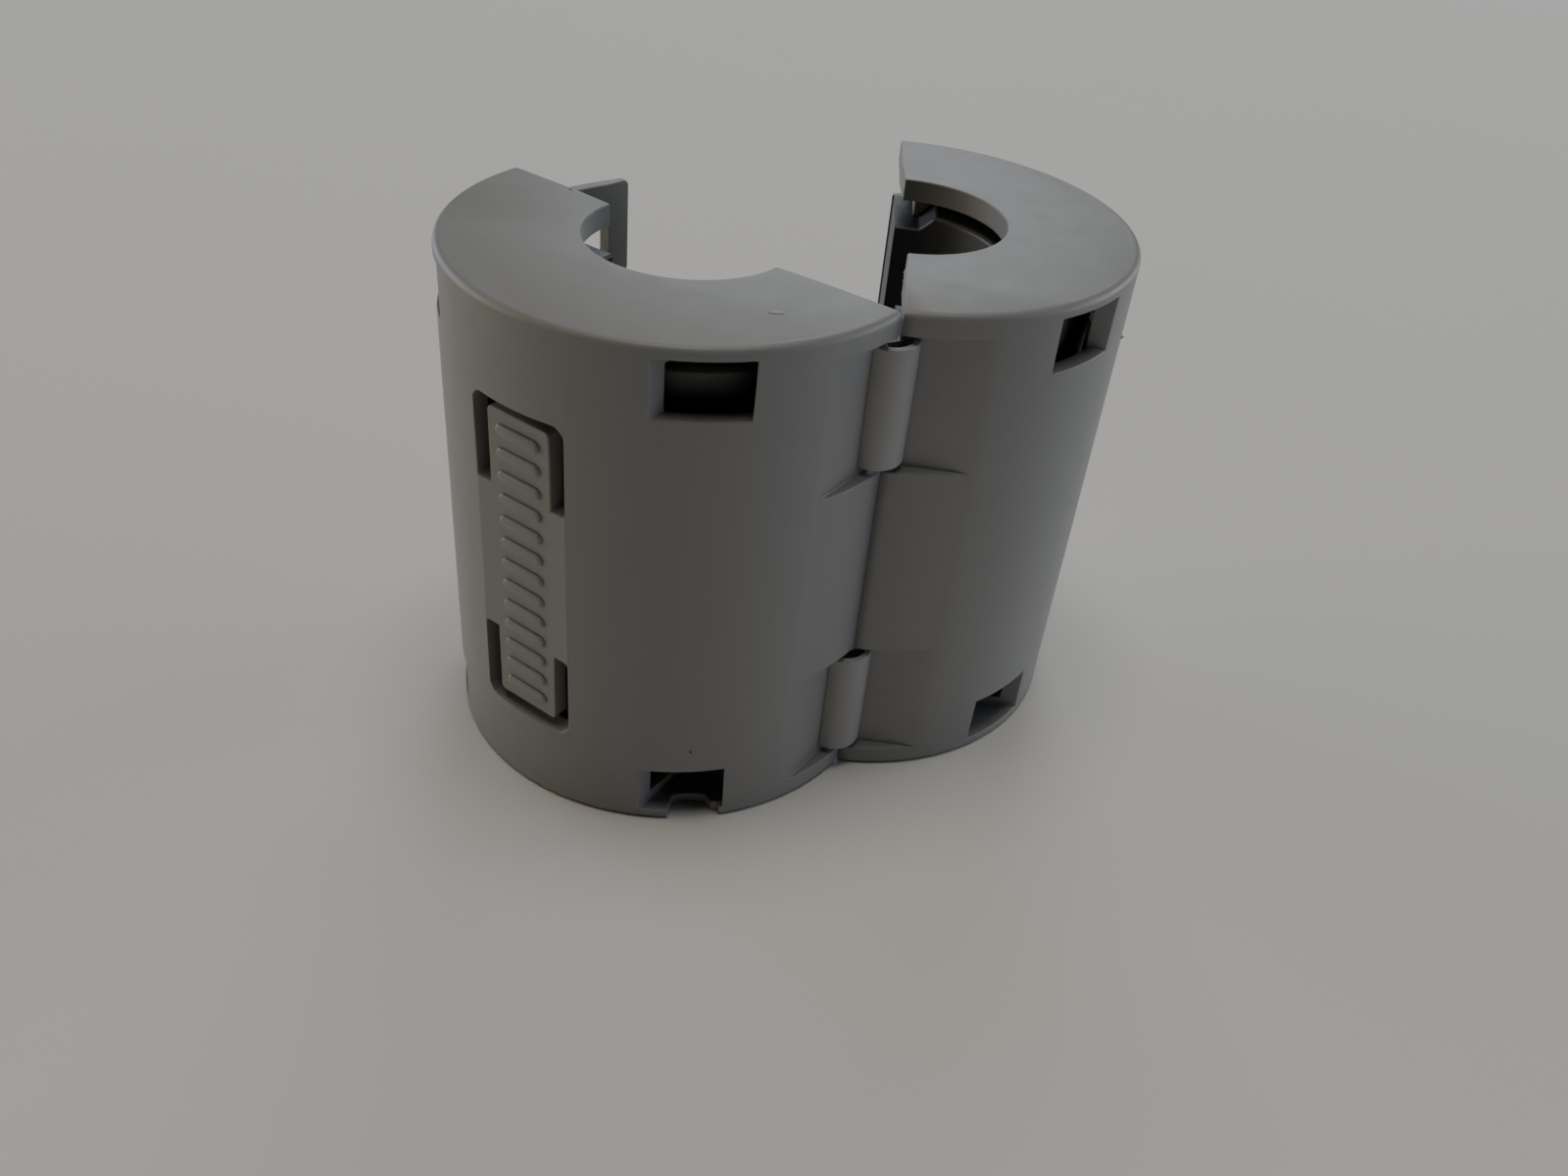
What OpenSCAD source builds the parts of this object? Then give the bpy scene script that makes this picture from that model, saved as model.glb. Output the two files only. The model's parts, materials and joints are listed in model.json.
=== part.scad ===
// Clip-on ferrite bead: a nylon snap case, moulded in one piece with two strap hinges,
// that closes a pair of ferrite half rings around a cable. It stands on its end with the
// clip open. All sizes are in millimetres. The cable bore of half A is the Z axis, the
// hinge is on the -Y side and the latch on the +Y side.

/* [Case] */
// Height of the case along the cable
case_h = 34.5; // [33:0.5:40]
// Distance that each half runs past its own arc centre
land = 0.4; // [0.2:0.1:0.6]
// Thickness of the round side wall
wall_t = 1.1; // [0.9:0.1:1.2]
// Thickness of the two end caps
cap_t = 1.5; // [1.3:0.1:1.8]
// Rounding of the outer end rims
rim_r = 0.45; // [0.2:0.05:0.6]
// Gap from the case edges to the split plane
split_gap = 0.1; // [0.05:0.05:0.2]
// How far the two halves are swung open
open_angle = 57.5; // [30:0.5:110]

/* [Cable bore] */
// Radius of the cable bore
bore_r = 6.45; // [5:0.05:7]
// How far the cap corners beside the bore are cut back
corner_back = 0.2; // [0.1:0.05:0.6]
// Length of that cut along the split
corner_len = 3; // [1.5:0.5:4]

/* [Ferrite cores] */
// Radial thickness of the ferrite half rings
core_t = 6.25; // [5:0.05:8]
// Gap between a core and the round side wall
core_side_gap = 1.2; // [1.1:0.05:1.5]
// Gap between a core and each end cap
core_end_gap = 0.8; // [0.5:0.1:1.2]
// Gap from a core's ground face to the split plane
core_face_gap = 0.02; // [0.01:0.01:0.05]
// Chamfer on the core's round edges
core_chamfer = 0.25; // [0.1:0.05:0.4]
// Depth of the step at each end of the core's split face
step_h = 1.1; // [0.8:0.1:1.4]
// Length of the flat floor of that step
step_floor = 1.7; // [1.6:0.1:2]
// Length of the slanted riser behind the floor
step_ramp = 1.1; // [0.8:0.1:1.3]

/* [Core hooks] */
// Width of a hook along the split
hook_w = 3.2; // [2.5:0.1:3.6]
// Distance of a hook's outer side inside the core's outer radius
hook_inset = 0.9; // [0.6:0.1:1.4]
// Distance from the split plane to a hook's face
hook_in = 1.3; // [1:0.05:1.4]
// Clearance between a hook and the step of the core
hook_gap = 0.08; // [0.05:0.01:0.12]

/* [Side windows] */
// Width of the moulding windows beside the hooks
window_w = 4.1; // [3.8:0.1:4.3]
// Height of the moulding windows
window_h = 3.5; // [3:0.1:4]
// Width that a window adds on the outer side of its hook
window_margin = 0.2; // [0:0.05:0.4]
// Height of the rim strip left beyond a window
window_rim = 0.8; // [0.6:0.1:1]

/* [Spring pad] */
// Width of the flat pad on the back of each half
pad_w = 7; // [6.5:0.1:7.4]
// Distance from an end face to the end of the pad
pad_end = 5.95; // [5.5:0.05:6.5]
// Width of the slot legs beside a tongue
leg_w = 1.1; // [0.9:0.1:1.3]
// Length of the slot legs
leg_len = 5.9; // [5:0.1:6.5]
// Width of the slot across a tongue's tip
tip_slot = 0.75; // [0.6:0.05:0.9]
// Rounding of the tongue's tip corners and of the slot's leg ends
slot_r = 0.3; // [0.2:0.05:0.35]
// Rounding of the slot's outer corners beside a tongue's tip
slot_corner = 0.9; // [0.4:0.1:1]
// Width of the nub that presses on the core
nub_w = 3; // [2:0.1:4]
// Length of the nub's crest along the tongue
nub_crest = 0.5; // [0.3:0.1:1]
// Length of the slope on each side of the crest
nub_slope = 0.9; // [0.6:0.1:1.2]
// Clearance between a nub and the core
nub_gap = 0.05; // [0.02:0.01:0.1]

/* [Hinge] */
// Gap from the hinge-side case edges to the split plane, where the halves meet
hinge_gap = 0.03; // [0.02:0.01:0.1]
// Gap between the flats that carry the straps and the core inside
flat_core_gap = 0.34; // [0.2:0.02:0.5]
// Height of each flat
flat_h = 8.85; // [8:0.05:9.5]
// Height of a strap
strap_h = 7.95; // [7:0.05:8.2]
// Thickness of a strap
strap_t = 0.45; // [0.3:0.05:0.5]
// Distance from the split plane to a strap's root
strap_root = 1.3; // [1.2:0.05:1.5]
// How far an open strap bows out past the hinge line
strap_bow = 0.75; // [0.6:0.05:0.9]
// Clearance between the straps and half B
strap_gap = 0.03; // [0.02:0.01:0.05]

/* [Latch tabs] */
// Reach of a tab past the split plane
tab_reach = 8.5; // [8:0.1:9]
// Height of a tab
tab_h = 6.9; // [6.5:0.1:7.2]
// Distance from an end face to a tab
tab_end = 2.2; // [2:0.1:2.5]
// Thickness of a tab
tab_t = 0.85; // [0.7:0.05:0.9]
// Thickness of a tab at its tapered tip
tab_tip_t = 0.4; // [0.3:0.05:0.5]
// Length of the lead-in taper inside the tip
tab_lead = 1.9; // [1.5:0.1:2.1]
// Inward lean of a tab at its root, in degrees
tab_lean = 6; // [5:0.5:7]
// Radius that a tab is bowed to
tab_bow_r = 40; // [35:1:45]
// Corner rounding of a tab's tip
tab_corner = 0.5; // [0.2:0.1:0.8]
// Height of the window in a tab
tab_window_h = 3.9; // [3.6:0.1:4.2]
// Distance from the split plane to a tab's window
tab_window_in = 2.1; // [1.8:0.1:2.4]
// Length of the solid bar beyond the window
tab_bar = 1.9; // [1.7:0.1:2.1]

/* [Catches] */
// Gap between the core and the recessed wall that the tabs close over
recess_core_gap = 0.15; // [0.1:0.05:0.25]
// Thickness of that recessed wall
recess_t = 0.85; // [0.7:0.05:0.9]
// Gap between a tab and the edges of its recess
tab_gap = 0.3; // [0.2:0.05:0.4]
// Height of a catch above the recessed wall
catch_rise = 1.05; // [0.8:0.05:1.15]
// Length of a catch's ramp and crest
catch_len = 2.8; // [2.2:0.1:3.2]
// Length of the flat crest at a catch's high end
catch_crest = 0.3; // [0.2:0.1:0.6]
// Play between a closed catch and its window
catch_play = 0.1; // [0.05:0.05:0.2]
// Lead-in chamfer on the edge below the tabs
lead_in = 0.2; // [0.1:0.05:0.3]

/* [Locating tongue] */
// How far the tongue stands past the split plane
tongue_out = 0.1; // [0.05:0.05:0.5]
// Thickness of the tongue
tongue_t = 0.6; // [0.4:0.05:0.7]
// Gap between the tongue and the wall of half A
tongue_gap = 0.4; // [0.35:0.05:0.5]
// Length of the tongue's root along the split
tongue_root = 2; // [1.5:0.5:4]
// Distance from each end face to the tongue
tongue_end = 3.5; // [3:0.1:5]
// How far the latch edge is cut back between an end cap and the tongue
relief_back = 1; // [0.5:0.1:1.5]

/* [Broken rim] */
// Angle from the pad's middle where the break starts
break_from = 39.5; // [38:0.5:42]
// Angle from the pad's middle where the break ends
break_to = 52.5; // [50:0.5:54]
// Depth of the break into the rim
break_depth = 1.4; // [1:0.1:1.6]

/* [Hidden] */
$fn = 128;
case_colour = [0.62, 0.62, 0.6];
core_colour = [0.12, 0.12, 0.13];
eps = 0.01;
core_r = bore_r + core_t;
inner_r = core_r + core_side_gap;
case_r = inner_r + wall_t;
far = 3 * case_r;
edge_x = land - split_gap;
hinge_edge_x = land - hinge_gap;
core_z = cap_t + core_end_gap;
pivot = [land, -case_r];
flat_y = core_r + flat_core_gap + wall_t;
flat_depth = case_r - flat_y;
pad_half = pad_w / 2;
hook_y = core_r - hook_inset - hook_w / 2;
hook_tip_z = core_z + step_h - hook_gap;
hook_back_x = land - step_floor + hook_gap;
hook_root_x = hook_back_x - step_ramp / step_h * (hook_tip_z - cap_t);
window_y = hook_y + hook_w / 2 + window_margin - window_w / 2;
pad_x = sqrt(case_r * case_r - pad_half * pad_half);
tongue_r = inner_r - tongue_gap;
recess_inner_r = core_r + recess_core_gap;
recess_r = recess_inner_r + recess_t;
strap_z = cap_t + (flat_h - strap_h) / 2;
tab_tip_x = land + tab_reach;
tab_window_x = land + tab_window_in;
tab_jamb_x = tab_tip_x - tab_bar;
recess_end_x = tab_tip_x - 2 * land + tab_gap;
catch_face = tab_jamb_x - 2 * land - catch_play;
tab_centre = [-tab_bow_r * sin(tab_lean), case_r - tab_bow_r * cos(tab_lean)];

// Height of a circle's upper side at x
function arc_y(centre, r, x) = centre[1] + sqrt(r * r - (x - centre[0]) * (x - centre[0]));

// A point on a circle round the bore axis, by its angle from the pad's middle
function rim_point(r, a) = [-r * cos(a), -r * sin(a)];

// The same feature at the lower and at the upper end
module both_ends() {
    children();
    translate([0, 0, case_h]) mirror([0, 0, 1]) children();
}

// The same feature on the hinge side and on the latch side
module both_sides() {
    children();
    mirror([0, 1, 0]) children();
}

// Everything beyond a plane across the split direction, from one y onwards
module past_split(x, y = -far) {
    translate([x, y, -far]) cube([far, 2 * far, 3 * far]);
}

// A block with one outline in the XZ plane, centred on a distance along Y
module along_y(y, w, points) {
    translate([0, y + w / 2, 0]) rotate([90, 0, 0]) linear_extrude(w) polygon(points);
}

// A rectangle with rounded corners
module rounded(w, h, r) {
    translate([r, 0]) square([w - 2 * r, h]);
    translate([0, r]) square([w, h - 2 * r]);
    for (x = [r, w - r], y = [r, h - r]) translate([x, y]) circle(r);
}

// The closed drum of the case, with rounded end rims
module drum() {
    rotate_extrude() {
        square([case_r - rim_r, case_h]);
        translate([0, rim_r]) square([case_r, case_h - 2 * rim_r]);
        for (z = [rim_r, case_h - rim_r]) translate([case_r - rim_r, z]) circle(rim_r);
    }
}

// The inner side of the flats and the pad, which thickens the wall there
module wall_backing() {
    intersection() {
        translate([0, 0, cap_t - eps]) cylinder(r = case_r - wall_t / 2, h = case_h - 2 * cap_t + 2 * eps);
        union() {
            both_ends() translate([-far, -far, cap_t - eps])
                cube([far + land, far - flat_y + wall_t, flat_h + wall_t]);
            translate([-far, -pad_half - wall_t, pad_end - wall_t])
                cube([far - pad_x + wall_t, pad_w + 2 * wall_t, case_h - 2 * pad_end + 2 * wall_t]);
        }
    }
}

// The ridge inside a tongue's tip that presses on the back of the core
module core_nub() {
    foot_z = pad_end + tip_slot + slot_r;
    base_x = -(pad_x - wall_t) - eps;
    crest_x = -(core_r + nub_gap);
    along_y(0, nub_w, [[base_x, foot_z], [crest_x, foot_z + nub_slope],
        [crest_x, foot_z + nub_slope + nub_crest], [base_x, foot_z + 2 * nub_slope + nub_crest]]);
}

// The hook that holds an end of the core by its step
module core_hook() {
    along_y(hook_y, hook_w, [[land - hook_in, window_rim], [land - hook_in, hook_tip_z],
        [hook_back_x, hook_tip_z], [hook_root_x, cap_t], [hook_root_x, window_rim]]);
}

// The U-shaped slot that frees a spring tongue in the pad
module tongue_slot() {
    tongue_w = pad_w - 2 * leg_w;
    translate([-case_r - eps, 0, pad_end]) rotate([90, 0, 90]) linear_extrude(2 * wall_t) difference() {
        translate([-pad_half, 0]) intersection() {
            rounded(pad_w, leg_len, slot_r);
            rounded(pad_w, 2 * leg_len, slot_corner);
        }
        translate([-tongue_w / 2, tip_slot]) rounded(tongue_w, leg_len, slot_r);
    }
}

// The window that the mould's side core leaves, with its way in to the hook
module side_window(stop_x) {
    translate([-far, window_y - window_w / 2, window_rim])
        cube([far - stop_x, window_w, window_h]);
}

// The cap corner beside the bore, cut back along the split
module bore_corner() {
    translate([0, 0, -eps]) linear_extrude(cap_t + 2 * eps) polygon([
        [edge_x + eps, bore_r + corner_len], [edge_x - corner_back, bore_r],
        [edge_x - corner_back, 0], [edge_x + eps, 0]]);
}

// One case half in its own frame, without its latch
module half_shell(latch_window_stop) {
    difference() {
        union() {
            difference() {
                drum();
                translate([0, 0, cap_t]) cylinder(r = inner_r, h = case_h - 2 * cap_t);
                both_ends() side_window(latch_window_stop);
                both_ends() mirror([0, 1, 0]) side_window(-hook_root_x);
            }
            wall_backing();
            both_ends() core_nub();
            both_ends() both_sides() core_hook();
        }
        translate([0, 0, -eps]) cylinder(r = bore_r, h = case_h + 2 * eps);
        both_ends() translate([-far, -far, cap_t]) cube([2 * far, far - flat_y, flat_h]);
        translate([-far, -pad_half, pad_end])
            cube([far - pad_x, pad_w, case_h - 2 * pad_end]);
        both_ends() tongue_slot();
        both_ends() both_sides() bore_corner();
        past_split(hinge_edge_x);
        past_split(edge_x, wall_t - flat_y);
    }
}

// The outline of a tab seen along the cable: a bowed strip with a tapered tip
module tab_outline() {
    tip_y = arc_y(tab_centre, tab_bow_r, tab_tip_x) - tab_tip_t;
    lead_x = tab_tip_x - tab_lead;
    difference() {
        intersection() {
            translate(tab_centre) circle(tab_bow_r, $fn = 512);
            translate([0, 0]) square([tab_tip_x, case_r]);
        }
        translate(tab_centre) circle(tab_bow_r - tab_t, $fn = 512);
        polygon([[lead_x, arc_y(tab_centre, tab_bow_r - tab_t, lead_x)], [tab_tip_x, tip_y],
            [tab_tip_x + 1, tip_y], [tab_tip_x + 1, 0], [lead_x, 0]]);
    }
}

// A latch tab: the strip with rounded tip corners and the window for its catch
module latch_tab() {
    window_z = (tab_h - tab_window_h) / 2;
    translate([0, 0, tab_end]) intersection() {
        linear_extrude(tab_h) tab_outline();
        translate([0, case_r + 1, 0]) rotate([90, 0, 0]) linear_extrude(case_r) difference() {
            translate([-1, 0]) rounded(tab_tip_x + 1, tab_h, tab_corner);
            translate([tab_window_x, window_z])
                square([tab_jamb_x - tab_window_x, tab_window_h]);
        }
    }
}

// The chipped stretch of the lower rim under the hinge-side window of half A
module rim_break() {
    span = break_to - break_from;
    // Each corner of the ragged edge, as shares of the break's length and depth
    corners = [[0, 0.25], [0.08, 1], [0.38, 1.14], [0.77, 1], [0.88, 0.43], [1, 0.36]];
    translate([0, 0, -eps]) linear_extrude(window_rim + 2 * eps) polygon(concat(
        [for (c = corners) rim_point(case_r - break_depth * c[1], break_from + span * c[0])],
        [rim_point(case_r + 1, break_to), rim_point(case_r + 1, break_from)]));
}

// A ring-shaped wall on the latch side, from one x to the split edge
module latch_wall(r_in, r_out, x, z, h) {
    translate([0, 0, z]) linear_extrude(h) intersection() {
        difference() {
            circle(r_out);
            circle(r_in);
        }
        translate([x, 0]) square([edge_x - x, far]);
    }
}

// The catch that snaps into a tab's window
module catch() {
    base_r = recess_r - wall_t / 4;
    heel = catch_face - catch_len;
    catch_h = tab_window_h - 4 * catch_play;
    top = sqrt(pow(recess_r + catch_rise, 2) - catch_face * catch_face);
    translate([0, 0, tab_end + (tab_h - catch_h) / 2]) linear_extrude(catch_h) polygon([
        [-heel, sqrt(base_r * base_r - heel * heel)], [-heel, sqrt(recess_r * recess_r - heel * heel)],
        [-catch_face + catch_crest, top], [-catch_face, top],
        [-catch_face, sqrt(base_r * base_r - catch_face * catch_face)]]);
}

// The lead-in chamfer on the split edge under a tab
module edge_lead_in() {
    translate([0, 0, tab_end - tab_gap]) linear_extrude(tab_h + 2 * tab_gap) polygon([
        [edge_x + eps, recess_r - lead_in], [edge_x + eps, case_r],
        [edge_x - 2.5 * lead_in, case_r], [edge_x - 2.5 * lead_in, recess_r]]);
}

// The latch edge cut back from an end cap to the tongue, clear of the tab's root
module edge_relief() {
    latch_wall(core_r, case_r + eps, edge_x - relief_back, cap_t, tongue_end - cap_t);
}

// The tongue along the latch edge that slides inside the wall of half A
module locating_tongue() {
    translate([0, 0, tongue_end]) linear_extrude(case_h - 2 * tongue_end) intersection() {
        difference() {
            circle(tongue_r);
            circle(tongue_r - tongue_t);
        }
        translate([-tongue_root, 0]) square([tongue_root + land + tongue_out, case_r]);
    }
}

// The shell of half B with its latch side, in its own frame
module half_b_solid() {
    recess_z = tab_end - tab_gap;
    recess_h = tab_h + 2 * tab_gap;
    difference() {
        union() {
            half_shell(recess_end_x + wall_t / 2);
            both_ends() latch_wall(recess_inner_r, case_r - wall_t / 2, -recess_end_x - wall_t / 2,
                cap_t - eps, recess_z + recess_h - cap_t + wall_t);
            latch_wall(tongue_r - tongue_t, inner_r + eps, -tongue_root, tongue_end,
                case_h - 2 * tongue_end);
        }
        both_ends() latch_wall(recess_r, case_r + 1, -recess_end_x, recess_z, recess_h);
        both_ends() edge_lead_in();
        both_ends() edge_relief();
        both_ends() both_sides() bore_corner();
    }
    locating_tongue();
    both_ends() catch();
}

// Half B from its own frame to its place beside half A when closed
module closed_b() {
    translate([2 * land, 0, 0]) mirror([1, 0, 0]) children();
}

// Half B from its closed place to its open place
module opened_b() {
    translate([pivot[0], pivot[1], 0]) rotate([0, 0, -open_angle])
        translate([-pivot[0], -pivot[1], 0]) children();
}

// A ferrite half ring with stepped ends at its split face
module core_half() {
    core_h = case_h - 2 * core_z;
    x = land - core_face_gap;
    difference() {
        translate([0, 0, core_z]) rotate_extrude() polygon([
            [bore_r, core_chamfer], [bore_r + core_chamfer, 0], [core_r - core_chamfer, 0],
            [core_r, core_chamfer], [core_r, core_h - core_chamfer],
            [core_r - core_chamfer, core_h], [bore_r + core_chamfer, core_h],
            [bore_r, core_h - core_chamfer]]);
        both_ends() along_y(0, 2 * case_r, [[land - step_floor - step_ramp, core_z],
            [land - step_floor, core_z + step_h], [land + 1, core_z + step_h],
            [land + 1, core_z - 1], [land - step_floor - step_ramp, core_z - 1]]);
        past_split(x);
    }
}

// A strap hinge, bowed out between the flats of the open halves
module hinge_strap() {
    half = open_angle / 2;
    out = [-sin(half), -cos(half)];
    root = [-strap_root, flat_depth];
    level = root * out;
    half_chord = sqrt(root * root - level * level);
    rise = strap_bow - level;
    bow_r = (half_chord * half_chord + rise * rise) / (2 * rise);
    centre = pivot + (strap_bow - bow_r) * out;
    translate([0, 0, strap_z]) difference() {
        translate([centre[0], centre[1], 0]) cylinder(r = bow_r, h = strap_h);
        translate([centre[0], centre[1], -1]) cylinder(r = bow_r - strap_t, h = strap_h + 2);
        translate([-far, -flat_y, -1]) cube([2 * far, far, strap_h + 2]);
        opened_b() translate([-far, -flat_y - strap_gap, -1]) cube([2 * far, far, strap_h + 2]);
    }
}

module case_half_a() {
    color(case_colour) difference() {
        union() {
            half_shell(-hook_root_x);
            both_ends() latch_tab();
        }
        rim_break();
    }
}

module case_half_b() {
    color(case_colour) opened_b() closed_b() half_b_solid();
}

module ferrite_core_a() {
    color(core_colour) core_half();
}

module ferrite_core_b() {
    color(core_colour) opened_b() closed_b() core_half();
}

module hinge_strap_upper() {
    color(case_colour) translate([0, 0, case_h]) mirror([0, 0, 1]) hinge_strap();
}

module hinge_strap_lower() {
    color(case_colour) hinge_strap();
}

case_half_a();
case_half_b();
ferrite_core_a();
ferrite_core_b();
hinge_strap_upper();
hinge_strap_lower();
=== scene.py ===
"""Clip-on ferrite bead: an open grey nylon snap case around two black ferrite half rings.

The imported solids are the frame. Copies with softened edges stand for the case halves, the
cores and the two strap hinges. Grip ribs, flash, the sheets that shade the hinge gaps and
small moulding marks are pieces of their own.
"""

import collections
import itertools
import json
import math
import random

import bmesh
import bpy
from mathutils import Matrix, Vector
from mathutils.bvhtree import BVHTree
from mathutils.kdtree import KDTree


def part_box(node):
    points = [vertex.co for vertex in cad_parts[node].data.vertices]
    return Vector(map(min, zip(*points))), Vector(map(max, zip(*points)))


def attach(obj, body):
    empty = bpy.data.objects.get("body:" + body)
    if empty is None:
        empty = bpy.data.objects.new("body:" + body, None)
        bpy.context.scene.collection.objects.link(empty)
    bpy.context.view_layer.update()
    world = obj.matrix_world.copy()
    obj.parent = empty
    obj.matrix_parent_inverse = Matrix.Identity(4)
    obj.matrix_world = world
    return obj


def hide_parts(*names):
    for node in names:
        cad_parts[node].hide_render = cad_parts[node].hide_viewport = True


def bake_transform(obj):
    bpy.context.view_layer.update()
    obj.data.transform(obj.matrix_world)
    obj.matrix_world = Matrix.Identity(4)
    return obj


MM = 0.001

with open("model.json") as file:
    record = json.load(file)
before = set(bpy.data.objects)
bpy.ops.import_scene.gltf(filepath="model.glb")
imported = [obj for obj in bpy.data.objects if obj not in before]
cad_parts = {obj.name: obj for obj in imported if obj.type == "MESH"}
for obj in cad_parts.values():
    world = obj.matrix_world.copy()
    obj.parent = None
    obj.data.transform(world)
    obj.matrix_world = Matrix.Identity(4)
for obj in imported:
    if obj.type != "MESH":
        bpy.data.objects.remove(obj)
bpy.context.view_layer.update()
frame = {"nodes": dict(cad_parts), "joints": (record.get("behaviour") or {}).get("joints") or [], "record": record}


# ---------------------------------------------------------------- sizes and places of the object

# Half A stands round the Z axis. The hinge line runs along its outside, in the split plane
HINGE = frame["joints"][0]
PIVOT = Vector(HINGE["pos_m"])
OPEN_ANGLE = -math.radians(HINGE["range_deg"][0])
SPLIT_X = PIVOT.x
CASE_R = -PIVOT.y
CASE_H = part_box("case_half_a")[1].z
BORE_R = frame["record"]["mounts"][0]["dims"]["r_mm"] * MM

# The sizes below repeat the source's, because the frame doesn't give them.
# The flat pad on a half's back ends above and below in a slot with rounded corners
PAD_HALF_W = 3.5 * MM
PAD_X = -math.sqrt(CASE_R ** 2 - PAD_HALF_W ** 2)
PAD_END = 5.95 * MM
SLOT_CORNER = 0.9 * MM

# How far the flats that carry the straps lie inside the round wall
FLAT_DEPTH = 0.86 * MM

# From half B's own frame, which is half A's mirror image, to its open place
HALF_B = (Matrix.Translation((PIVOT.x, PIVOT.y, 0)) @ Matrix.Rotation(-OPEN_ANGLE, 4, "Z")
          @ Matrix.Translation((SPLIT_X, -PIVOT.y, 0)) @ Matrix.Scale(-1, 4, (1, 0, 0)))
PLACES = {"a": Matrix(), "b": HALF_B}


# ---------------------------------------------------------------- camera, floor and light

CAMERA_AT = Vector((-59.476, -47.209, 65.081)) * MM
CAMERA_AIM = Vector((11.648, -1.949, 2.488)) * MM
CAMERA_ROLL = math.radians(6.131)
# Blender takes the lens and the sensor in millimetres
CAMERA_LENS = 30.224
CAMERA_SENSOR = 36
CAMERA_CLIP = 1 * MM

FLOOR_SIDE = 4.0

# Name, azimuth and elevation in degrees, power in watts, colour
LIGHTS = [
    ("top", 0, 90, 3.03, (1.0, 0.948, 0.865)),
    ("left_warm", 120, 8, 2.15, (1.0, 0.88, 0.60)),
    ("back_cool", 90, 8, 2.44, (0.62, 0.71, 1.0)),
    ("right_low", 330, 8, 2.36, (0.904, 1.0, 0.95)),
    ("front_right", 300, 8, 1.36, (0.68, 0.76, 1.0)),
    ("window_right", 30, 28, 1.52, (0.831, 0.913, 1.0)),
]
LIGHT_AIM = Vector((5, 0, 15)) * MM
LIGHT_DISTANCE = 0.9
LIGHT_SIZE = 0.5
WORLD_COLOUR = (0.92, 0.95, 1.0)
WORLD_STRENGTH = 0.005


def look_at(place, aim):
    """A matrix at a place whose -Z axis points at an aim."""
    turn = (aim - place).to_track_quat("-Z", "Y").to_matrix().to_4x4()
    return Matrix.Translation(place) @ turn


def link(name, data):
    """A new object in the scene, for some data."""
    thing = bpy.data.objects.new(name, data)
    bpy.context.scene.collection.objects.link(thing)
    return thing


def add_camera():
    """The photograph's viewpoint, looking down on the hinge side of half A."""
    data = bpy.data.cameras.new("camera")
    data.sensor_width = CAMERA_SENSOR
    data.lens = CAMERA_LENS
    data.clip_start = CAMERA_CLIP
    camera = link("camera", data)
    camera.matrix_world = look_at(CAMERA_AT, CAMERA_AIM) @ Matrix.Rotation(CAMERA_ROLL, 4, "Z")
    bpy.context.scene.camera = camera


def add_floor():
    """A plain pale floor under the object."""
    half = FLOOR_SIDE / 2
    corners = [(-half, -half, 0), (half, -half, 0), (half, half, 0), (-half, half, 0)]
    mesh = bpy.data.meshes.new("floor")
    mesh.from_pydata(corners, [], [(0, 1, 2, 3)])
    mesh.materials.append(floor_material())
    link("floor", mesh)


def add_lights():
    """Soft round panels on a dome round the object, and a little light from everywhere."""
    for name, azimuth, elevation, power, colour in LIGHTS:
        around, up = math.radians(azimuth), math.radians(elevation)
        level = math.cos(up)
        out = Vector((math.cos(around) * level, math.sin(around) * level, math.sin(up)))
        data = bpy.data.lights.new(name, "AREA")
        data.shape = "DISK"
        data.size = LIGHT_SIZE
        data.energy = power
        data.color = colour
        link(name, data).matrix_world = look_at(LIGHT_AIM + out * LIGHT_DISTANCE, LIGHT_AIM)
    world = bpy.data.worlds.new("world")
    world.use_nodes = True
    background = world.node_tree.nodes["Background"]
    background.inputs["Color"].default_value = (*WORLD_COLOUR, 1)
    background.inputs["Strength"].default_value = WORLD_STRENGTH
    bpy.context.scene.world = world


# ---------------------------------------------------------------- materials

NYLON_GREY = 0.27
NYLON_IOR = 1.53
# Paler greys, which are painted light: the straps' grey stands in for the extra light they catch from the floor
# and the side, and the nick's for the highlight on its raised top
STRAP_PAINTED_LIGHT_GREY = 0.37
NICK_PAINTED_HIGHLIGHT_GREY = 0.32
FERRITE_IOR = 1.9
# The middle of a noise's values, which a spread maps in full
NOISE_LOW = 0.3
NOISE_HIGH = 0.7
# How much faster blue falls than red rises as a grey gets warmer
BLUE_LOSS = 1.6


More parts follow.
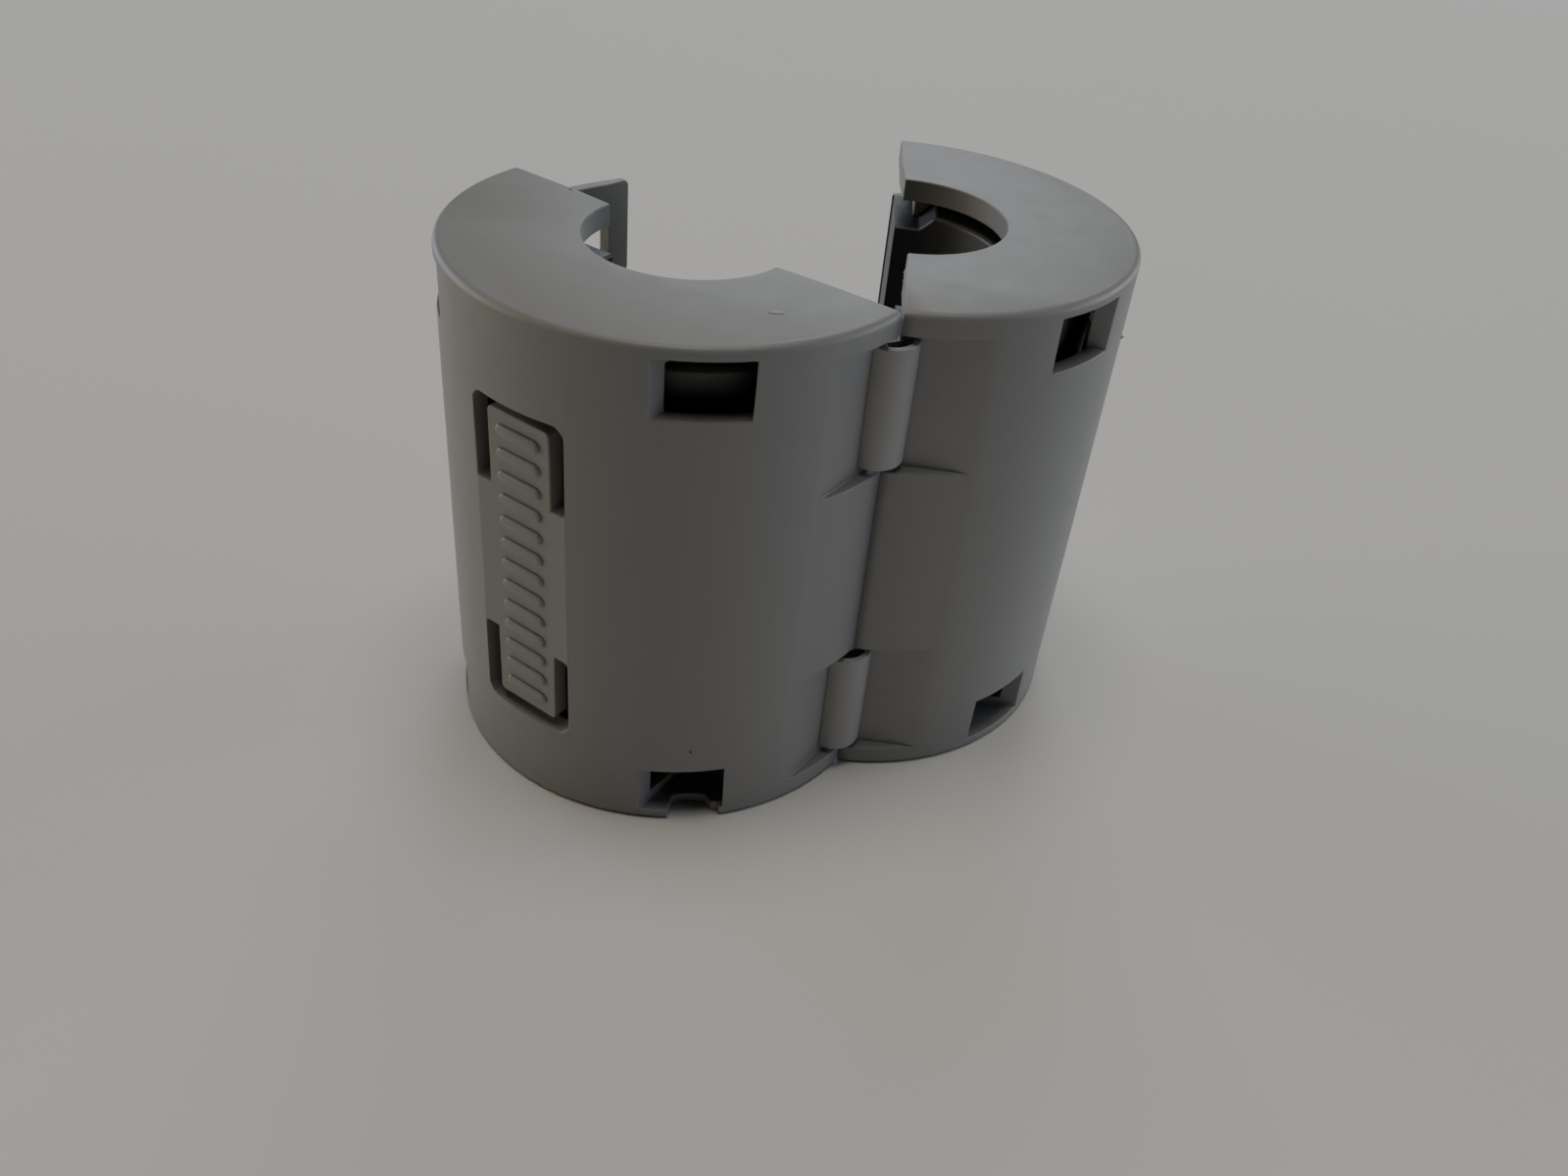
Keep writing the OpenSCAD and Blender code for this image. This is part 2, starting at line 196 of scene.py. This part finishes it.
class Shading:
    """A material's node tree, built from the texture end to the Principled shader."""

    def __init__(self, name):
        self.material = bpy.data.materials.new(name)
        self.material.use_nodes = True
        self.tree = self.material.node_tree
        self.shader = self.tree.nodes["Principled BSDF"]

    def put(self, socket, value):
        """Links a socket to another, or sets its value."""
        if isinstance(value, bpy.types.NodeSocket):
            self.tree.links.new(value, socket)
        else:
            socket.default_value = value

    def add(self, kind, inputs, output=0, **settings):
        """Adds a node and returns one of its outputs. Inputs are given by name or number."""
        node = self.tree.nodes.new(kind)
        for key, value in settings.items():
            setattr(node, key, value)
        for key, value in inputs.items():
            self.put(node.inputs[key], value)
        return node.outputs[output]

    def noise(self, size, detail=2.0, roughness=0.5):
        """Noise whose grains are about size metres across."""
        place = self.add("ShaderNodeTexCoord", {}, "Object")
        inputs = {"Vector": place, "Scale": 1 / size, "Detail": detail, "Roughness": roughness}
        return self.add("ShaderNodeTexNoise", inputs)

    def spread(self, value, low, high):
        """Maps the middle of a noise's values to the range from low to high."""
        inputs = {"Value": value, "From Min": NOISE_LOW, "From Max": NOISE_HIGH,
                  "To Min": low, "To Max": high}
        return self.add("ShaderNodeMapRange", inputs)

    def mix(self, factor, first, second):
        """A colour between two, which are the node's inputs 6 and 7, by a factor from 0 to 1."""
        return self.add("ShaderNodeMix", {0: factor, 6: first, 7: second}, 2, data_type="RGBA")

    def bump(self, height, distance, below=None):
        """A normal roughened by a height map, over an earlier one if given."""
        inputs = {"Height": height, "Distance": distance, "Strength": 1.0}
        if below is not None:
            inputs["Normal"] = below
        return self.add("ShaderNodeBump", inputs)

    def finish(self, **inputs):
        """Fills in the shader's inputs, with underscores for the spaces, and returns the material."""
        for key, value in inputs.items():
            self.put(self.shader.inputs[key.replace("_", " ")], value)
        return self.material


def grey(value, warmth=0.0):
    """An RGBA grey, a little warmer where warmth is above 0."""
    return (value * (1 + warmth), value, value * (1 - BLUE_LOSS * warmth), 1)


def nylon_material(name, tone):
    """Moulded grey nylon: satin, faintly mottled, with a fine tool texture."""
    look = Shading(name)
    mottle = look.mix(look.noise(9 * MM, 2), grey(tone * 0.98, 0.012), grey(tone * 1.02, 0.004))
    speck = look.spread(look.noise(0.22 * MM, 2), 0.0, 1.0)
    colour = look.mix(speck, mottle, grey(tone * 1.03, 0.01))
    gloss = look.spread(look.noise(1.8 * MM, 3), 0.45, 0.51)
    wavy = look.bump(look.noise(5 * MM, 1), 0.003 * MM)
    grain = look.bump(look.noise(0.09 * MM, 3, 0.6), 0.004 * MM, wavy)
    return look.finish(Base_Color=colour, Roughness=gloss, Normal=grain, IOR=NYLON_IOR)


def ferrite_material():
    """Sintered ferrite: black, semi-gloss, finely granular."""
    look = Shading("black_ferrite")
    colour = look.mix(look.noise(0.6 * MM, 5, 0.7), grey(0.018), grey(0.03, 0.03))
    gloss = look.spread(look.noise(0.9 * MM, 4), 0.46, 0.58)
    grain = look.bump(look.noise(0.07 * MM, 4, 0.7), 0.006 * MM)
    return look.finish(Base_Color=colour, Roughness=gloss, Normal=grain, IOR=FERRITE_IOR)


def torn_nylon_material():
    """Thin nylon that was torn or scraped, and has turned paler."""
    look = Shading("torn_nylon")
    colour = look.mix(look.noise(0.08 * MM, 3), grey(0.34), grey(0.5, 0.01))
    grain = look.bump(look.noise(0.05 * MM, 3), 0.01 * MM)
    return look.finish(Base_Color=colour, Roughness=0.6, Normal=grain)


def soot_material():
    """The dark matter of the specks on the case."""
    look = Shading("dark_speck")
    colour = look.mix(look.noise(0.05 * MM, 3), grey(0.02), grey(0.06, 0.03))
    return look.finish(Base_Color=colour, Roughness=0.7)


def floor_material():
    """A pale matt ground with broad, faint clouds."""
    look = Shading("pale_floor")
    colour = look.mix(look.noise(40 * MM, 3), (0.765, 0.755, 0.73, 1), (0.785, 0.775, 0.75, 1))
    return look.finish(Base_Color=colour, Roughness=0.92)


NYLON = nylon_material("grey_nylon", NYLON_GREY)
# The straps' paler grey is painted light, for the light they catch from the floor and the side
STRAP_PAINTED_LIGHT_NYLON = nylon_material("strap_painted_light_nylon", STRAP_PAINTED_LIGHT_GREY)
# The nick's paler grey is a painted highlight, for the light on its raised top
NICK_PAINTED_HIGHLIGHT_NYLON = nylon_material("nick_painted_highlight_nylon", NICK_PAINTED_HIGHLIGHT_GREY)
TORN_NYLON = torn_nylon_material()
SOOT = soot_material()
FERRITE = ferrite_material()


# ---------------------------------------------------------------- softened copies of the solids

# A solid's faces that turn by less than FLAT are joined, and edges that turn by more than
# SHARP are rounded. In the result, an edge that turns by more than FOLDED is a fault
FLAT = math.radians(0.5)
SHARP = math.radians(38)
FOLDED = math.radians(120)
# Sharp edges that meet at less than this bend run on in one chain
BEND = math.radians(30)
# The edges of a core's chamfers turn by less than this, and its other edges by more
CHAMFER = math.radians(60)

# How close counts as on a line or plane: of the pad, of the hinge, of the cores' split face
PAD_REACH = 0.01 * MM
HINGE_REACH = 0.2 * MM
SPLIT_REACH = 0.1 * MM

# The share of the rounding's width that each kind of edge gets
CASE_SHARE = 0.5
HINGE_SHARE = 0.0
CORE_SHARE = 1.0
CHAMFER_SHARE = 0.6
GROUND_SHARE = 0.2
STRAP_SHARE = 1.0
STRAP_ROOT_SHARE = 0.3

# Edges this close to a fault get this much of their share, time and again, down to the least
FAULT_REACH = 0.25 * MM
FAULT_CUT = 0.6
LEAST_SHARE = 0.02
ROUNDING_TRIES = 10
ROUNDING_SEGMENTS = 2


def sharp_edges(mesh, limit=SHARP):
    """The edges whose two faces turn by more than a limit."""
    return [edge for edge in mesh.edges if len(edge.link_faces) == 2 and edge.calc_face_angle(0) > limit]


def round_pad_corners(mesh, place):
    """Brings the pad's surface beside the slot's rounded corners out to the round wall."""
    back = place.inverted()
    corner_y = PAD_HALF_W - SLOT_CORNER
    spots = [(vert, back @ vert.co) for vert in mesh.verts]

    def past_end(spot):
        return min(spot.z, CASE_H - spot.z) - PAD_END

    # The wall's facet beside a corner starts here, and ends at the pad's side
    facet = [(abs(spot.y), spot.x) for _, spot in spots if abs(past_end(spot)) < PAD_REACH
             and spot.x < PAD_X - PAD_REACH and corner_y < abs(spot.y)]
    if not facet:
        return
    facet_y, facet_x = min(facet)
    for vert, spot in spots:
        sunk = abs(spot.x - PAD_X) < PAD_REACH and -PAD_REACH < past_end(spot) < SLOT_CORNER + PAD_REACH
        if sunk and corner_y - PAD_REACH < abs(spot.y) < PAD_HALF_W + PAD_REACH:
            side_y = max(abs(spot.y), facet_y)
            spot.x = facet_x + (PAD_X - facet_x) * (side_y - facet_y) / (PAD_HALF_W - facet_y)
            spot.y = math.copysign(side_y, spot.y)
            vert.co = place @ spot


def cleaned_mesh(node, merge, place):
    """A solid's mesh with its flat faces whole, and without slivers narrower than merge."""
    mesh = bmesh.new()
    mesh.from_mesh(frame["nodes"][node].data)
    if node.startswith("case_half"):
        round_pad_corners(mesh, place)
    bmesh.ops.remove_doubles(mesh, verts=mesh.verts, dist=merge)
    bmesh.ops.dissolve_degenerate(mesh, dist=merge, edges=mesh.edges)
    bmesh.ops.dissolve_limit(mesh, angle_limit=FLAT, verts=mesh.verts, edges=mesh.edges)
    return mesh


# The three functions for an edge's share are called alike, though only the core's needs the place


def case_share(edge, place):
    """The rounding of a case edge: the same all over, but none along the hinge line."""
    on_hinge = all((vert.co.xy - PIVOT.xy).length < HINGE_REACH for vert in edge.verts)
    return HINGE_SHARE if on_hinge else CASE_SHARE


def core_share(edge, place):
    """The rounding of a core edge: full where it was tumbled, less where the split face was ground."""
    back = place.inverted()
    if all((back @ vert.co).x > SPLIT_X - SPLIT_REACH for vert in edge.verts):
        return GROUND_SHARE
    return CHAMFER_SHARE if edge.calc_face_angle(0) < CHAMFER else CORE_SHARE


def strap_share(edge, place):
    """The rounding of a strap edge: full round its ends, and less along its upright roots."""
    along = edge.verts[1].co - edge.verts[0].co
    upright = abs(along.z) > 0.5 * along.length
    return STRAP_ROOT_SHARE if upright else STRAP_SHARE


# For each kind of solid: the function that gives an edge's share of the rounding, its width,
# the slivers that are merged first, and how far it may stray from the solid
Rounding = collections.namedtuple("Rounding", "share width merge stray")
CASE_ROUNDING = Rounding(case_share, width=0.22 * MM, merge=0.08 * MM, stray=0.055 * MM)
CORE_ROUNDING = Rounding(core_share, width=0.22 * MM, merge=0.02 * MM, stray=0.075 * MM)
STRAP_ROUNDING = Rounding(strap_share, width=0.2 * MM, merge=0.02 * MM, stray=0.05 * MM)


def add_bevel(piece, width):
    """A modifier that rounds a piece's edges by their weights."""
    bevel = piece.modifiers.new("soften", "BEVEL")
    bevel.width = width
    bevel.segments = ROUNDING_SEGMENTS
    bevel.limit_method = "WEIGHT"
    bevel.use_clamp_overlap = False
    bevel.face_strength_mode = "FSTR_ALL"


def modified_mesh(piece):
    """A piece's mesh as its modifiers leave it."""
    bpy.context.view_layer.update()
    mesh = bmesh.new()
    mesh.from_object(piece, bpy.context.evaluated_depsgraph_get())
    return mesh


def rounding_faults(rounded, solid, stray):
    """Places where the rounding folds over, or leaves the solid's surface by more than stray."""
    places = [(edge.verts[0].co + edge.verts[1].co) / 2 for edge in sharp_edges(rounded, FOLDED)]
    for vert in rounded.verts:
        if solid.find_nearest(vert.co)[3] > stray:
            places += [solid.find_nearest(edge.other_vert(vert).co)[0] for edge in vert.link_edges]
    return places


def near_any(edge, spots):
    """Whether an edge passes within a fault's reach of one of the spots in a tree."""
    start, end = (vert.co for vert in edge.verts)
    along = end - start
    for spot, _, _ in spots.find_range((start + end) / 2, along.length / 2 + FAULT_REACH):
        share = min(max((spot - start).dot(along) / along.length_squared, 0), 1)
        if (spot - start - along * share).length < FAULT_REACH:
            return True
    return False


def cut_shares(mesh, weight, faults):
    """Gives less rounding to the edges near faults, where narrow faces leave too little room."""
    spots = KDTree(len(faults))
    for index, spot in enumerate(faults):
        spots.insert(spot, index)
    spots.balance()
    for edge in mesh.edges:
        if edge[weight] > LEAST_SHARE and near_any(edge, spots):
            edge[weight] *= FAULT_CUT


def level_chains(mesh, weight):
    """Gives edges that run on in a gentle bend the same rounding, as unequal ones fold there."""
    bends = []
    for vert in mesh.verts:
        sharp = [edge for edge in vert.link_edges if edge[weight] > 0]
        for first, second in itertools.combinations(sharp, 2):
            turn = (vert.co - first.other_vert(vert).co).angle(second.other_vert(vert).co - vert.co)
            if turn < BEND:
                bends.append((first, second))
    changed = True
    while changed:
        changed = False
        for first, second in bends:
            low = min(first[weight], second[weight])
            if max(first[weight], second[weight]) > low:
                first[weight] = second[weight] = low
                changed = True


def shade(piece, material):
    """A material, and smooth shading that keeps flat faces flat beside their rounded edges."""
    piece.data.materials.clear()
    piece.data.materials.append(material)
    piece.data.shade_smooth()
    normals = piece.modifiers.new("shading", "WEIGHTED_NORMAL")
    normals.mode = "CORNER_ANGLE"
    normals.use_face_influence = True


def soften(node, rounding, place, material):
    """A copy of a solid with its sharp edges rounded, which stands for it while the solid is hidden.

    The matrix takes half A's frame to the half that the solid belongs to.
    """
    mesh = cleaned_mesh(node, rounding.merge, place)
    solid = BVHTree.FromBMesh(mesh)
    weight = mesh.edges.layers.float.new("bevel_weight_edge")
    for edge in sharp_edges(mesh):
        edge[weight] = rounding.share(edge, place)
    piece = link(node + "_skin", bpy.data.meshes.new(node + "_skin"))
    add_bevel(piece, rounding.width)
    for _ in range(ROUNDING_TRIES):
        mesh.to_mesh(piece.data)
        rounded = modified_mesh(piece)
        faults = rounding_faults(rounded, solid, rounding.stray)
        if not faults:
            break
        cut_shares(mesh, weight, faults)
        level_chains(mesh, weight)
    piece.modifiers.clear()
    rounded.to_mesh(piece.data)
    shade(piece, material)
    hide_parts(node)
    return piece


# ---------------------------------------------------------------- pieces drawn point by point


def loft(mesh, rings):
    """Adds a closed solid through rings of points, with a flat face at each end."""
    rings = [[mesh.verts.new(point) for point in ring] for ring in rings]
    for lower, upper in zip(rings, rings[1:]):
        for index in range(len(lower)):
            mesh.faces.new((lower[index - 1], lower[index], upper[index], upper[index - 1]))
    mesh.faces.new(rings[-1])
    mesh.faces.new(reversed(rings[0]))


def finish_piece(mesh, name, place, material):
    """Makes an object of a mesh drawn in half A's frame, and moves the mesh to its place."""
    bmesh.ops.transform(mesh, matrix=place, verts=mesh.verts)
    bmesh.ops.recalc_face_normals(mesh, faces=mesh.faces)
    piece = link(name, bpy.data.meshes.new(name))
    mesh.to_mesh(piece.data)
    mesh.free()
    piece.data.materials.append(material)
    piece.data.shade_smooth()
    return piece


# ---------------------------------------------------------------- grip ribs on the pads

RIB_COUNT = 13
RIB_PITCH = 1.55 * MM
RIB_LENGTH = 3.4 * MM
RIB_WIDTH = 0.8 * MM
RIB_ARC_STEPS = 8
# How far each ring of a rib lies inside its outline, and above the pad, in millimetres
RIB_RINGS = [(0, -0.06), (0, 0.05), (0.05, 0.13), (0.13, 0.185), (0.24, 0.21)]


def stadium(length, width):
    """Points round a rectangle with half-round ends, as pairs about its middle."""
    radius = width / 2
    points = []
    for side in (1, -1):
        for step in range(RIB_ARC_STEPS + 1):
            turn = math.pi * (step / RIB_ARC_STEPS - 0.5)
            along = length / 2 - radius + radius * math.cos(turn)
            points.append((side * along, side * radius * math.sin(turn)))
    return points


def grip_ribs(name, place):
    """Plain raised ribs across a spring pad. The matrix takes half A's frame to the pad's own half."""
    mesh = bmesh.new()
    for index in range(RIB_COUNT):
        middle = CASE_H / 2 + (index - (RIB_COUNT - 1) / 2) * RIB_PITCH
        rings = []
        for inset, rise in RIB_RINGS:
            outline = stadium(RIB_LENGTH - 2 * inset * MM, RIB_WIDTH - 2 * inset * MM)
            rings.append([(PAD_X - rise * MM, y, middle + z) for y, z in outline])
        loft(mesh, rings)
    return finish_piece(mesh, name, place, NYLON)


# ---------------------------------------------------------------- flash at the rim, and a sheet that shades the hinge gap

# A fin springs from a line this far inside the split plane and the end face, and its foot
# is sunk this far behind the line
FIN_INSET = 0.1 * MM
FIN_SUNK = 0.08 * MM
FIN_THICK = 0.05 * MM
FIN_STEPS = 26
# The least share of its reach that a fin has, and its tip's share of its thickness
FIN_LEAST = 0.25
FIN_TIP = 0.4
# Each fin on half B: name, where it starts and ends along the rim, reach, seed
FINS = [
    ("flash_latch_b", BORE_R + 2.2 * MM, CASE_R - 3 * MM, 0.22 * MM, 3),
    ("flash_hinge_b", -BORE_R - 2.5 * MM, -CASE_R + 3.5 * MM, 0.16 * MM, 8),
]

# The web is a sheet put in each hinge gap to shade it: painted shade
# A web's ends lie this far behind the split plane, and its edges this far inside the strap's
WEB_ROOT = 0.3 * MM
WEB_SHORT = 0.15 * MM
WEB_THICK = 0.08 * MM


def fin(name, start_y, end_y, reach, seed, place):
    """A thin ragged fin of flash along the upper rim, standing out past the split plane."""
    draw = random.Random(seed)
    start = Vector((SPLIT_X - FIN_INSET, start_y, CASE_H - FIN_INSET))
    end = Vector((SPLIT_X - FIN_INSET, end_y, CASE_H - FIN_INSET))
    out = Vector((1, 0, 0))
    side = (end - start).normalized().cross(out) * FIN_THICK / 2
    rings = []
    for step in range(FIN_STEPS + 1):
        share = step / FIN_STEPS
        swell = math.sin(math.pi * share) ** 0.5
        height = reach * swell * draw.uniform(FIN_LEAST, 1.0)
        foot = start.lerp(end, share) - out * FIN_SUNK
        tip = start.lerp(end, share) + out * height + side * draw.uniform(-1, 1)
        rings.append((foot - side, foot + side, tip + side * FIN_TIP, tip - side * FIN_TIP))
    mesh = bmesh.new()
    loft(mesh, rings)
    return finish_piece(mesh, name, place, NYLON)


def hinge_shade_sheet(level):
    """A thin sheet inside a strap, across the gap between the two halves' edges, put there to darken the gap:
    painted shade.
    """
    low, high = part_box("hinge_strap_" + level)
    edge_a = Vector((SPLIT_X - WEB_ROOT, -CASE_R + FLAT_DEPTH, 0))
    edge_b = HALF_B @ edge_a
    side = (edge_b - edge_a).cross((0, 0, 1)).normalized() * WEB_THICK / 2
    corners = (edge_a - side, edge_a + side, edge_b + side, edge_b - side)
    heights = (low.z + WEB_SHORT, high.z - WEB_SHORT)
    mesh = bmesh.new()
    loft(mesh, [[(corner.x, corner.y, z) for corner in corners] for z in heights])
    piece = finish_piece(mesh, "shade_sheet_strap_" + level, Matrix(), NYLON)
    piece.data.shade_flat()
    return piece


# ---------------------------------------------------------------- nicks, specks and crumbs

# The lumps and dents of a mark: how many, the range of their depth as a share of the
# radius, and the power that keeps them narrow
LUMP_COUNT = 9
LUMP_DEPTHS = (-0.5, 0.6)
LUMP_POWER = 6
MARK_SUBDIVISIONS = 3

# Each mark: name, place and size in millimetres, seed, material, squash, turn in degrees, half
TOP = CASE_H / MM
MARKS = [
    # The nick's material is a paler grey: a painted highlight on its raised top
    ("nick_top_a", (-4.86, -10.1, TOP), 0.4, 5, NICK_PAINTED_HIGHLIGHT_NYLON, (1.2, 2.0, 0.22), 48, "a"),
    ("speck_top_a", (0.0, 9.71, TOP), 0.2, 2, SOOT, (1, 1, 0.2), 0, "a"),
    ("speck_wall_a", (-10.73, -10.48, 6.15), 0.2, 11, SOOT, (0.8, 0.8, 0.8), 0, "a"),
    ("crumb_strap_a", (-0.42, -14.6, 32.6), 0.26, 12, TORN_NYLON, (1, 1, 0.8), 0, "a"),
    ("crumb_flat_a", (0.2, -14.14, 24.2), 0.26, 13, TORN_NYLON, (1, 1, 0.8), 0, "a"),
    ("crumb_wall_b", (-14.37, -4.29, 29.53), 0.26, 14, TORN_NYLON, (1, 1, 1), 0, "b"),
]


def lumpy_mark(name, at, size, seed, material, squash, turn, place):
    """A small lumpy body at a point of the surface, squashed and then turned about Z."""
    draw = random.Random(seed)
    lumps = []
    for _ in range(LUMP_COUNT):
        direction = Vector([draw.uniform(-1, 1) for _ in range(3)]).normalized()
        lumps.append((direction, draw.uniform(*LUMP_DEPTHS)))
    mesh = bmesh.new()
    bmesh.ops.create_icosphere(mesh, subdivisions=MARK_SUBDIVISIONS, radius=size / 2)
    for vert in mesh.verts:
        out = vert.co.normalized()
        vert.co *= 1 + sum(depth * max(out.dot(lump), 0) ** LUMP_POWER for lump, depth in lumps)
        vert.co *= Vector(squash)
    bmesh.ops.rotate(mesh, matrix=Matrix.Rotation(math.radians(turn), 3, "Z"), verts=mesh.verts)
    bmesh.ops.translate(mesh, vec=at, verts=mesh.verts)
    return finish_piece(mesh, name, place, material)


# ---------------------------------------------------------------- the object


def add_halves():
    """The two case halves with their cores."""
    for letter, place in PLACES.items():
        body = "half_" + letter
        case = soften("case_half_" + letter, CASE_ROUNDING, place, NYLON)
        core = soften("ferrite_core_" + letter, CORE_ROUNDING, place, FERRITE)
        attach(case, body)
        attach(core, body)


def add_straps():
    """The strap hinges and their webs."""
    for level in ("upper", "lower"):
        # The straps' material is a paler grey that paints in the light they catch
        strap = soften("hinge_strap_" + level, STRAP_ROUNDING, Matrix(), STRAP_PAINTED_LIGHT_NYLON)
        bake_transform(strap)
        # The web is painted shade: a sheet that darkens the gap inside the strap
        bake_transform(hinge_shade_sheet(level))


def add_grip_ribs():
    """The ribs on both halves' pads."""
    for letter, place in PLACES.items():
        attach(grip_ribs("grip_ribs_" + letter, place), "half_" + letter)


def add_fins():
    """The flash along half B's upper rim."""
    for name, start_y, end_y, reach, seed in FINS:
        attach(fin(name, start_y, end_y, reach, seed, HALF_B), "half_b")


def add_marks():
    """The nick, specks and crumbs that the photograph shows."""
    for name, at, size, seed, material, squash, turn, letter in MARKS:
        mark = lumpy_mark(name, Vector(at) * MM, size * MM, seed, material, squash, turn, PLACES[letter])
        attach(mark, "half_" + letter)


add_camera()
add_floor()
add_lights()
add_halves()
add_straps()
add_grip_ribs()
add_fins()
add_marks()
